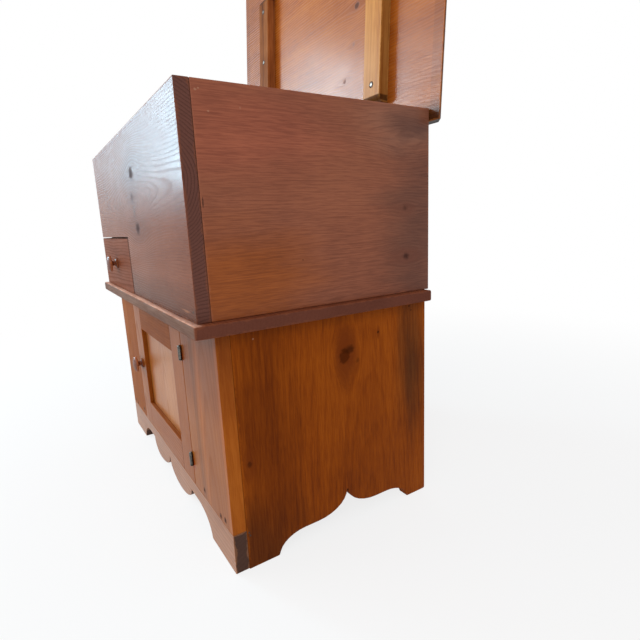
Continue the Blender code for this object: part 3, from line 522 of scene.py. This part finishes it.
def dress_well():
    plank("well_front", "X", "Y", "well_front", spacing=0.0048, eye_at=on_front(0.050, 0.657),
          pith=0.008, bow=2.2, reach=0.133, tilt=0.0, rings=0.14, contrast=0.7, streaks=0.4,
          end_shade=1.35, end_rings=0.22, relief=0.22,
          knots=[(on_front(0.0542, 0.6577), 0.0130, 0.60, 0.7),
                 (on_front(0.0700, 0.6990), 0.0210, 0.85, 0.8),
                 (on_front(0.0763, 0.5990), 0.0200, 0.80, 0.8)],
          tints=[(on_front(0.0620, 0.6300), (0.024, 0.034), (0.62, 0.55, 0.52)),
                 # A darker strip along the bottom, where the front meets the deck: painted shade.
                 (on_front(0.1, 0.448), (3.0, 0.075), (0.60, 0.58, 0.52))],
          marks=[(on_front(0.350, 0.4642), (0.027, 0.0011), PALE),
                 (on_front(0.357, 0.4622), (0.016, 0.0008), PALE)])
    plank("well_side_right", "Y", "X", "well", spacing=0.0066, eye_at=on_well(0.9, 0.42), pith=0.03,
          bow=0.06, tilt=0.05, rings=0.07, contrast=0.72, streaks=0.20, ticks=0.20,
          knots=[(on_well(0.4192, 0.6109), 0.0070, 0.45, 0.9),
                 (on_well(0.4210, 0.5203), 0.0095, 0.75, 0.9),
                 (on_well(0.4200, 0.7350), 0.0170, 0.0, 0.9)],
          tints=[(on_well(0.46, 0.56), (0.16, 0.26), (0.58, 0.65, 0.76)),
                 (on_well(0.06, 0.49), (0.24, 0.13), (1.12, 0.90, 0.36)),
                 (on_well(0.08, 0.73), (0.26, 0.11), (1.18, 1.05, 1.10)),
                 # A greyer, lighter patch at the top near the rear: a painted sheen.
                 (on_well(0.42, 0.76), (0.16, 0.07), (1.05, 1.30, 1.50)),
                 (on_well(0.440, 0.764), (0.10, 0.036), (0.56, 0.53, 0.56))],
          marks=[(on_well(0.0300, 0.7779), (0.0024, 0.0017), PALE),
                 (on_well(0.0344, 0.7797), (0.0016, 0.0014), PALE),
                 (on_well(0.0460, 0.7510), (0.0022, 0.0014), PALE),
                 (on_well(0.0952, 0.7593), (0.0010, 0.0022), PALE),
                 (on_well(0.0262, 0.6260), (0.0014, 0.0085), GAP),
                 (on_well(0.1888, 0.5307), (0.0014, 0.0014), GAP)])
    plank("well_side_left", "Y", "X", "well", spacing=0.0065, eye_at=at(-WELL_X, 0.30, 0.30),
          pith=0.03, bow=0.10, contrast=0.8, streaks=0.4, ticks=0.2,
          knots=[(at(-WELL_X, 0.150, 0.640), 0.009, 0.8, 0.4)])
    plank("well_back", "X", "Y", "well", spacing=0.0068, eye_at=at(-0.10, 0.482, 0.60), pith=0.02,
          bow=0.35, reach=0.3, contrast=0.8, streaks=0.4, ticks=0.2,
          knots=[(at(0.210, 0.482, 0.700), 0.010, 0.8, 0.3),
                 (at(-0.265, 0.482, 0.535), 0.007, 0.8, 0.4)])
    # Painted side shading darkens the deck's front face, and the tint lightens the top strip in front
    # of the well: a painted sheen.
    plank("deck", "X", "Z", "deck", spacing=0.0075, eye=(0.2, 0.10, -0.04), bow=0.12, rings=0.12,
          end_rings=0.03, end_shade=1.65, end_grey=0.05, flank=0.25, flank_rough=0.20,
          tints=[(at(0.0, -0.012, 0.449), (6.0, 0.022), (3.5, 6.6, 10.2))])


def hinge_shadow(word):
    """A painted shadow of a door hinge's barrel: a tint at the high corner of its fixed leaf."""
    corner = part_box(f"door_hinge_{word}_fixed_leaf")[1]
    return Vector((corner.x, corner.y, corner.z - 0.022)), (0.020, 0.010), HINGE_SHADOW


def dress_case():
    plank("case_side_right", "Z", "X", "side", spacing=0.011, eye_at=on_case(0.33, -0.30),
          pith=0.03, bow=0.08, rings=0.10, contrast=0.9, streaks=0.55, ticks=0.18,
          knots=[(on_case(0.2708, 0.3462), 0.0135, 0.95, 0.4),
                 (on_case(0.2762, 0.3575), 0.0085, 0.65, 0.7),
                 (on_case(0.2870, 0.3330), 0.0060, 0.45, 0.8),
                 (on_case(0.3515, 0.3793), 0.0026, 0.8, 0.4),
                 (on_case(0.067, 0.196), 0.0060, 0.6, 0.7)],
          tints=[(on_case(0.10, 0.22), (0.40, 0.09), (0.70, 0.66, 0.58)),
                 (on_case(0.06, 0.02), (0.14, 0.16), (0.50, 0.52, 1.40)),
                 (on_case(0.437, 0.30), (0.22, 0.055), (0.42, 0.56, 2.60))],
          marks=[(on_case(0.0901, 0.4108), (0.0018, 0.0018), PALE),
                 (on_case(0.4331, 0.4195), (0.0016, 0.0030), GAP),
                 (on_case(0.4385, 0.4105), (0.0016, 0.0030), GAP)])
    plank("case_side_left", "Z", "X", "side", spacing=0.010, eye_at=at(-CASE_X, 0.20, 0.75),
          pith=0.03, bow=0.08, rings=0.10, contrast=0.8,
          knots=[(at(-CASE_X, 0.350, 0.230), 0.0095, 0.9, 0.3)])
    # Painted light on this stile: shade towards the top and a greyish sheen towards the bottom, a
    # band of shade next to the door, a highlight beside the hinges, a lighter band at the right edge
    # and the hinges' shadows. Painted side shading lightens its side.
    plank("case_stile_right", "Z", "Y", "front", spacing=0.0085, eye=(-0.5, 0.02, -0.05),
          rings=0.07, contrast=0.65, flank=1.12,
          tints=[(on_front(0.320, 0.44), (0.20, 0.60), (0.66, 0.62, 0.56)),
                 (on_front(0.320, 0.13), (0.20, 0.60), (1.08, 1.18, 1.3)),
                 (on_front(0.258, 0.25), (1.0, 0.017), (0.78, 0.78, 0.80)),
                 (on_front(0.287, 0.25), (1.0, 0.013), (1.20, 1.18, 1.15)),
                 (on_front(0.393, 0.25), (1.0, 0.013), (1.30, 1.22, 1.15)),
                 hinge_shadow("upper"), hinge_shadow("lower")])
    plank("case_stile_left", "Z", "Y", "front", "rail", spacing=0.0080, eye=(0.6, -0.03, -0.05),
          rings=0.12, contrast=0.65)
    plank("case_apron", "X", "Y", "apron", spacing=0.0080, eye=(-0.2, -0.16, -0.04), rings=0.12,
          contrast=0.65, end_shade=0.40, end_grey=0.02, end_rings=0.05)
    plank("case_top_rail", "X", "Y", "rail", spacing=0.0070, eye=(0.3, -0.1, -0.04), rings=0.05,
          contrast=0.55)
    plank("case_floor", "X", "Z", "inner", spacing=0.0080)
    for number in range(1, 5):
        low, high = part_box(f"case_back_board_{number}")
        side = (-1) ** number
        knot = at((low.x + high.x) / 2 + 0.03 * side, 0.47, 0.14 + 0.05 * number)
        plank(f"case_back_board_{number}", "Z", "Y", "side", spacing=0.008 + 0.0006 * number,
              eye=(0.4 * side, 0.03 * (number - 2), -0.04), bow=0.06, rings=0.12, contrast=0.8,
              knots=[(knot, 0.008, 0.8, 0.3)])


def dress_door():
    # The tint is painted shade towards the top of the stile.
    plank("door_stile_hinge", "Z", "Y", "front", spacing=0.0075, eye=(0.5, 0.09, -0.04), rings=0.12,
          contrast=0.65, tints=[(on_front(0.22, 0.44), (0.18, 0.60), (0.82, 0.78, 0.72))])
    plank("door_stile_lock", "Z", "Y", "front", spacing=0.0082, eye=(-0.6, -0.02, -0.05),
          rings=0.12, contrast=0.65)
    plank("door_rail_top", "X", "Y", "rail", spacing=0.0070, eye=(0.3, -0.08, -0.04), rings=0.05,
          contrast=0.55)
    plank("door_rail_bottom", "X", "Y", "front", spacing=0.0075, eye=(-0.3, 0.09, -0.04),
          rings=0.12, contrast=0.65)
    # The tint is painted shade towards the top of the panel.
    plank("door_panel", "Z", "Y", "panel", spacing=0.0090, eye=(-0.10, 0.01, -0.025), bow=0.35,
          rings=0.12, contrast=0.75,
          tints=[(on_front(0.10, 0.43), (0.20, 0.90), (0.70, 0.66, 0.62))])


def dress_drawer():
    low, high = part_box("drawer_front")
    plank("drawer_front", "X", "Y", "well_front", "drawer", spacing=0.0066, eye=(0.3, 0.06, -0.04),
          contrast=0.8,
          marks=[(Vector((high.x, low.y, (low.z + high.z) / 2)), (0.0060, 0.40), GAP),
                 (Vector(((low.x + high.x) / 2, low.y, high.z)), (0.80, 0.0016), GAP)])
    for node, grain, face in (("drawer_side_left", "Y", "X"), ("drawer_side_right", "Y", "X"),
                              ("drawer_back", "X", "Y"), ("drawer_bottom", "X", "Z"),
                              ("drawer_housing_top", "X", "Z"), ("drawer_housing_side", "Y", "X"),
                              ("drawer_housing_cleat", "Y", "Z")):
        plank(node, grain, face, "inner", spacing=0.0075, eye=(0.2, 0.05, -0.04))


def dress_lid():
    # Painted light on the lid: painted side shading darkens its edges, the end grain at its ends is
    # darkened partly as painted shade, the first tint is a painted shadow of the well on the strip
    # along the hinge edge, and the third is painted shade on the left bay. The rim is the darker
    # stain where the lid overhangs the well.
    plank("lid_panel", "X", "Z", "lid", turn=LID_OPEN, spacing=0.0062, eye=(0.10, 0.34, -0.05),
          bow=0.10, rings=0.12, contrast=1.05, streaks=0.6, ticks=0.22,
          rim=(0.0255, (0.80, 0.77, 0.82)), end_shade=0.4, flank=0.24, relief=0.4,
          tints=[(lid_at(0.0, -0.0180), (4.0, 0.036), (0.20, 0.22, 0.42)),
                 (lid_at(-0.405, 0.085), (0.060, 0.030), (0.55, 0.55, 0.8)),
                 (lid_at(-0.370, 0.300), (0.115, 0.60), (0.74, 0.68, 0.60))],
          knots=[(lid_at(0.1655, 0.2665), 0.0085, 0.8, 0.5),
                 (lid_at(0.1565, 0.190), 0.0055, 0.5, 0.8),
                 (lid_at(0.1245, 0.119), 0.0065, 0.5, 0.8)],
          marks=[(lid_at(0.4155, 0.052), (0.010, 0.004), PALE)])
    # The rim is painted shade at the batten's ends, as the dark well lies under its lower end, and
    # painted side shading darkens its side.
    plank("lid_batten_right", "Y", "Z", "batten", turn=LID_OPEN, spacing=0.0070,
          eye=(0.2, 0.03, -0.03), rings=0.12, contrast=1.3, streaks=1.0, flank=0.63,
          rim=(0.0145, (0.30, 0.27, 0.25)))
    # The rim is painted shade at the batten's ends, and painted side shading lightens its side.
    plank("lid_batten_left", "Y", "Z", "far_batten", turn=LID_OPEN, spacing=0.0065,
          eye=(-0.2, 0.04, -0.03), rings=0.15, contrast=1.2, streaks=1.0, flank=1.45,
          rim=(0.0145, (0.45, 0.42, 0.40)))


def dress_hardware():
    for node in ("door_knob", "drawer_knob"):
        plank(node, "Y", "X", "knob", spacing=0.0030, eye=(0.0, 0.0, 0.004), wear=0.0,
              end_shade=1.2)
    black = iron("black_iron", (0.115, 0.110, 0.100), 0.30)
    for node in NODES:
        if "hinge" in node and not node.startswith("door_stile"):
            coat_mesh(NODES[node].data, black)


def seat(place, out, turn=0.0):
    """Axes of a small fitting at a place: Z out of the surface that carries it."""
    square = Vector(out).to_track_quat("Z", "Y").to_matrix().to_4x4()
    return Matrix.Translation(place) @ square @ Matrix.Rotation(turn, 4, "Z")


def add_turning(shape, axes, profile, sides=20):
    """A turned form about the axes' Z, from radii and heights. It starts or ends at radius 0."""
    rings = []
    for radius, height in profile:
        count = sides if radius else 1
        angles = [2 * math.pi * index / count for index in range(count)]
        ring = [Vector((radius * math.cos(a), radius * math.sin(a), height)) for a in angles]
        rings.append([shape.verts.new(axes @ point) for point in ring])
    for lower, upper in zip(rings, rings[1:]):
        for index in range(sides):
            after = (index + 1) % sides
            if len(lower) == 1:
                shape.faces.new((lower[0], upper[after], upper[index]))
            elif len(upper) == 1:
                shape.faces.new((lower[index], lower[after], upper[0]))
            else:
                shape.faces.new((lower[index], lower[after], upper[after], upper[index]))


def add_screw(shape, axes, radius, height, slot):
    """A slotted screw head: a turned rim, and two lands with the slot between them."""
    floor = 0.45 * height
    land = 0.93 * radius
    steps = 8
    add_turning(shape, axes, [(radius, 0.0), (radius, 0.3 * height), (land, floor), (0.0, floor)])
    start = math.asin(slot / radius)
    angles = [start + (math.pi - 2 * start) * step / steps for step in range(steps + 1)]
    for way in (-1, 1):
        foot = [(land * math.cos(angle), way * land * math.sin(angle)) for angle in angles]
        low = [shape.verts.new(axes @ Vector((x, y, floor))) for x, y in foot]
        high = [shape.verts.new(axes @ Vector((0.94 * x, 0.97 * y, height))) for x, y in foot]
        shape.faces.new(high if way > 0 else high[::-1])
        for index in range(len(foot)):
            after = (index + 1) % len(foot)
            side = (low[index], low[after], high[after], high[index])
            shape.faces.new(side if way > 0 else side[::-1])


def add_nail(shape, axes, radius, height):
    """A hammered nail head, a little flattened on top."""
    profile = [(radius, 0.0), (0.96 * radius, 0.5 * height), (0.72 * radius, 0.9 * height),
               (0.3 * radius, height), (0.0, height)]
    add_turning(shape, axes, profile, 12)


def add_plug(shape, axes, radius, height):
    """A wooden plug with an eased rim."""
    profile = [(radius, 0.0), (radius, 0.4 * height), (0.93 * radius, 0.85 * height),
               (0.8 * radius, height), (0.0, height)]
    add_turning(shape, axes, profile, 24)


def add_strip(shape, low, high, ease):
    """A sawn strip between two corners, with eased edges."""
    middle = Matrix.Translation((low + high) / 2)
    size = Matrix.Diagonal((*(high - low), 1.0))
    bmesh.ops.create_cube(shape, size=1.0, matrix=middle @ size)
    bmesh.ops.bevel(shape, geom=shape.edges[:], offset=ease, segments=2, profile=0.5,
                    affect="EDGES")


def fit(name, shape, body):
    """Makes a mesh of small fittings into a piece that rides on a body."""
    mesh = bpy.data.meshes.new(name)
    bmesh.ops.recalc_face_normals(shape, faces=shape.faces)
    shape.to_mesh(mesh)
    shape.free()
    piece = link(name, mesh)
    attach(piece, body)
    return mesh


# Radius, height and half the slot of each screw head. Radius and height of each nail and plug.
BATTEN_SCREW = (0.0040, 0.0006, 0.0006)
DOOR_SCREW = (0.0029, 0.00025, 0.0004)
LID_SCREW = (0.0027, 0.00012, 0.0004)
SIDE_NAIL = (0.0017, 0.0003)
FRONT_NAIL = (0.0020, 0.0003)
BACK_NAIL = (0.0028, 0.0006)
DRAWER_NAIL = (0.0022, 0.0003)
BATTEN_PLUG = (0.0048, 0.0002)
FRONT_PLUG = (0.0055, 0.0003)
# A dark ring round a batten's screw, painted shade in place of a counterbore: radius and height.
BORE_SHADE = [(0.0066, 0.0), (0.0064, 0.00018), (0.0046, 0.00026), (0.0, 0.00026)]
BATTEN_X = 0.254
SCREW_TURNS = random.Random(5)


def drive(shape, place, out, size):
    """A slotted screw at a place, its slot at a chance angle."""
    add_screw(shape, seat(place, out, SCREW_TURNS.uniform(0, 3)), *size)


def batten_face(word):
    """How far a batten's face stands out from the hinge line."""
    batten = NODES[f"lid_batten_{word}"].data
    return max((vertex.co - LID_AXIS).dot(LID_OUT) for vertex in batten.vertices)


def fit_battens(steel):
    for word, x, reaches in (("left", -BATTEN_X, (0.0755, 0.267, 0.402)),
                             ("right", BATTEN_X, (0.0755, 0.402))):
        face = batten_face(word)
        heads = bmesh.new()
        bore_shades = bmesh.new()
        for reach in reaches:
            place = lid_at(x, reach, face)
            drive(heads, place, LID_OUT, BATTEN_SCREW)
            add_turning(bore_shades, seat(place, LID_OUT), BORE_SHADE, 24)
        coat_mesh(fit(f"batten_screws_{word}", heads, "lid"), steel)
        # The dark rings are painted shade in place of counterbores.
        mesh = fit(f"batten_bore_shades_{word}", bore_shades, "lid")
        clad(mesh, f"batten_bore_shades_{word}", "Y", "Z", "bore", "inner", 71, LID_OPEN, wear=0.0)
    plug = bmesh.new()
    add_plug(plug, seat(lid_at(BATTEN_X, 0.242, batten_face("right")), LID_OUT), *BATTEN_PLUG)
    mesh = fit("batten_plug", plug, "lid")
    clad(mesh, "batten_plug", "X", "Z", "batten", None, 73, LID_OPEN, wear=0.0)


def fit_front_plugs():
    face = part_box("case_stile_right")[0].y
    spots = [(0.2575, 0.0933), (0.3422, 0.0842), (0.3647, 0.0881)]
    spots = [Vector((way * x, face, z)) for way in (1, -1) for x, z in spots]
    plugs = bmesh.new()
    for place in spots:
        add_plug(plugs, seat(place, FRONT), *FRONT_PLUG)
    mesh = fit("front_plugs", plugs, "case")
    hearts = [(place, 0.0024, 0.9, 0.3) for place in spots]
    clad(mesh, "front_plugs", "Z", "Y", "plug", "inner", 75, wear=0.0, knots=hearts)


def fit_floor_strip():
    """A strip behind the apron, under the edge of the cupboard's floor."""
    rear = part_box("case_apron")[1].y
    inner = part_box("case_side_right")[0].x
    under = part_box("case_floor")[0].z
    strip = bmesh.new()
    low = Vector((-inner + 0.0004, rear + 0.0002, under - 0.0200))
    high = Vector((inner - 0.0004, rear + 0.0140, under - 0.0001))
    add_strip(strip, low, high, 0.0010)
    mesh = fit("floor_strip", strip, "case")
    clad(mesh, "floor_strip", "X", "Y", "inner", None, 77, spacing=0.0070, eye=(0.2, 0.03, -0.02))


def fit_nails(black):
    nails = bmesh.new()
    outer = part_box("case_side_right")[1].x
    for way in (-1, 1):
        for depth, z in ((0.0556, 0.0708), (0.0576, 0.0645)):
            add_nail(nails, seat(at(way * outer, depth, z), way * RIGHT), *SIDE_NAIL)
    add_nail(nails, seat(on_front(0.389, 0.466), FRONT), *FRONT_NAIL)
    for number in range(1, 5):
        low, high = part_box(f"case_back_board_{number}")
        for x in (low.x + 0.032, high.x - 0.032):
            for z in (low.z + 0.009, high.z - 0.012):
                add_nail(nails, seat(Vector((x, high.y, z)), -FRONT), *BACK_NAIL)
    coat_mesh(fit("case_nails", nails, "case"), black)

    nails = bmesh.new()
    for word, way in (("left", -1), ("right", 1)):
        low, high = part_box(f"drawer_side_{word}")
        for z in (low.z + 0.036, high.z - 0.018):
            place = Vector((high.x if way > 0 else low.x, high.y - 0.0055, z))
            add_nail(nails, seat(place, way * RIGHT), *DRAWER_NAIL)
    coat_mesh(fit("drawer_nails", nails, "drawer"), black)


def fit_door_screws(steel):
    fixed = bmesh.new()
    moving = bmesh.new()
    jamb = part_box("case_stile_right")[0].x
    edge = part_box("door_stile_hinge")[1].x
    for word in ("upper", "lower"):
        low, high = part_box(f"door_hinge_{word}_fixed_leaf")
        for rise in (-0.009, 0.009):
            y = high.y - 0.0085
            z = (low.z + high.z) / 2 + rise
            drive(fixed, Vector((jamb, y, z)), -RIGHT, DOOR_SCREW)
            drive(moving, Vector((edge, y, z)), RIGHT, DOOR_SCREW)
    coat_mesh(fit("door_hinge_screws_fixed", fixed, "case"), steel)
    coat_mesh(fit("door_hinge_screws_moving", moving, "door"), steel)


def fit_lid_screws(steel):
    fixed = bmesh.new()
    moving = bmesh.new()
    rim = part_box("well_back")[1].z
    for word in ("left", "right"):
        low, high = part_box(f"lid_hinge_{word}_fixed_leaf")
        for run in (-0.022, 0.0, 0.022):
            x = (low.x + high.x) / 2 + run
            drive(fixed, Vector((x, low.y + 0.0090, rim)), UP, LID_SCREW)
            drive(moving, lid_at(x, 0.0112, -0.0002), LID_OUT, LID_SCREW)
    coat_mesh(fit("lid_hinge_screws_fixed", fixed, "case"), steel)
    coat_mesh(fit("lid_hinge_screws_moving", moving, "lid"), steel)


def add_fittings():
    steel = iron("screw_steel", (0.17, 0.15, 0.13), 0.38)
    black = iron("nail_iron", (0.060, 0.050, 0.044), 0.45)
    fit_battens(steel)
    fit_front_plugs()
    fit_floor_strip()
    fit_nails(black)
    fit_door_screws(steel)
    fit_lid_screws(steel)


WHITE = (1.0, 1.0, 1.0, 1.0)


def seen(g):
    """1 where the camera or a mirroring or clear surface looks, and 0 where a surface is lit."""
    path = g.add("ShaderNodeLightPath").outputs
    mirrored = g.math("MAXIMUM", path["Is Glossy Ray"], path["Is Transmission Ray"])
    return g.math("MAXIMUM", path["Is Camera Ray"], mirrored)


def add_floor():
    """A paper floor that looks white, with a soft shadow near the object."""
    reach = 30
    mesh = bpy.data.meshes.new("floor")
    corners = [(-reach, -reach, 0), (reach, -reach, 0), (reach, reach, 0), (-reach, reach, 0)]
    mesh.from_pydata(corners, [], [(0, 1, 2, 3)])
    floor = link("floor", mesh)
    floor.location.z = -0.0004
    material, g = new_material("floor")
    place = g.add("ShaderNodeTexCoord").outputs["Object"]
    share = g.math("MULTIPLY", seen(g), g.spread(g.length(place), 0.7, 2.4, 0.80, 1.0))
    paper = g.add("ShaderNodeBsdfDiffuse", {"Color": (0.86, 0.86, 0.86, 1.0)})
    white = g.add("ShaderNodeEmission", {"Color": WHITE, "Strength": 1.0})
    mixed = g.add("ShaderNodeMixShader", {0: share, 1: paper.outputs[0], 2: white.outputs[0]})
    g.add("ShaderNodeOutputMaterial", {"Surface": mixed.outputs[0]})
    mesh.materials.append(material)


def add_world():
    world = bpy.data.worlds.new("studio")
    world.use_nodes = True
    g = Graph(world.node_tree)
    fill = g.add("ShaderNodeBackground", {"Color": (0.97, 0.98, 1.0, 1.0), "Strength": 0.58})
    white = g.add("ShaderNodeBackground", {"Color": WHITE, "Strength": 1.0})
    mixed = g.add("ShaderNodeMixShader", {0: seen(g), 1: fill.outputs[0], 2: white.outputs[0]})
    g.add("ShaderNodeOutputWorld", {"Surface": mixed.outputs[0]})
    bpy.context.scene.world = world


def soft_light(name, place, target, width, height, watts, colour):
    light = bpy.data.lights.new(name, "AREA")
    light.shape = "RECTANGLE"
    light.size = width
    light.size_y = height
    light.energy = watts
    light.color = colour
    lamp = link(name, light)
    lamp.location = place
    lamp.rotation_euler = (Vector(target) - Vector(place)).to_track_quat("-Z", "Y").to_euler()


def add_lamps():
    """Four windows at the left, which the varnish mirrors, and two large soft lamps in front."""
    sky = (0.54, 0.83, 1.0)
    haze = (0.75, 0.90, 1.0)
    warm = (1.0, 0.98, 0.95)
    wall = -3.2
    windows = (("window", -1.73, 1.51, 0.8, 1.0, 80.0, sky),
               ("side_window", -1.22, 0.95, 0.3, 0.4, 2.0, sky),
               ("high_window", -2.34, 2.33, 1.5, 0.5, 40.0, haze),
               ("end_window", -3.30, 2.85, 0.7, 0.8, 28.0, haze))
    for name, y, z, width, height, watts, colour in windows:
        soft_light(name, (wall, y, z), (0.0, y, z), width, height, watts, colour)
    middle = (0.0, 0.0, 0.6)
    soft_light("key", (-1.6, -3.4, 2.6), middle, 1.8, 1.8, 31.5, warm)
    soft_light("fill", (2.6, -2.4, 2.6), middle, 1.6, 1.6, 36.0, warm)


def add_camera():
    """The camera that was fitted to the photograph."""
    right = Vector((0.5426, 0.8388, -0.0441))
    down = Vector((0.1479, -0.1471, -0.9780))
    forward = Vector((-0.8269, 0.5241, -0.2038))
    view = Matrix((right, -down, -forward)).transposed().to_4x4()
    data = bpy.data.cameras.new("camera")
    data.sensor_width = 36.0
    data.lens = 25.82
    camera = link("camera", data)
    camera.matrix_world = Matrix.Translation(at(1.0669, -0.2041, 0.5877)) @ view
    bpy.context.scene.camera = camera


bpy.context.scene.view_settings.view_transform = "Standard"
dress_well()
dress_case()
dress_door()
dress_drawer()
dress_lid()
dress_hardware()
add_fittings()
add_floor()
add_world()
add_lamps()
add_camera()
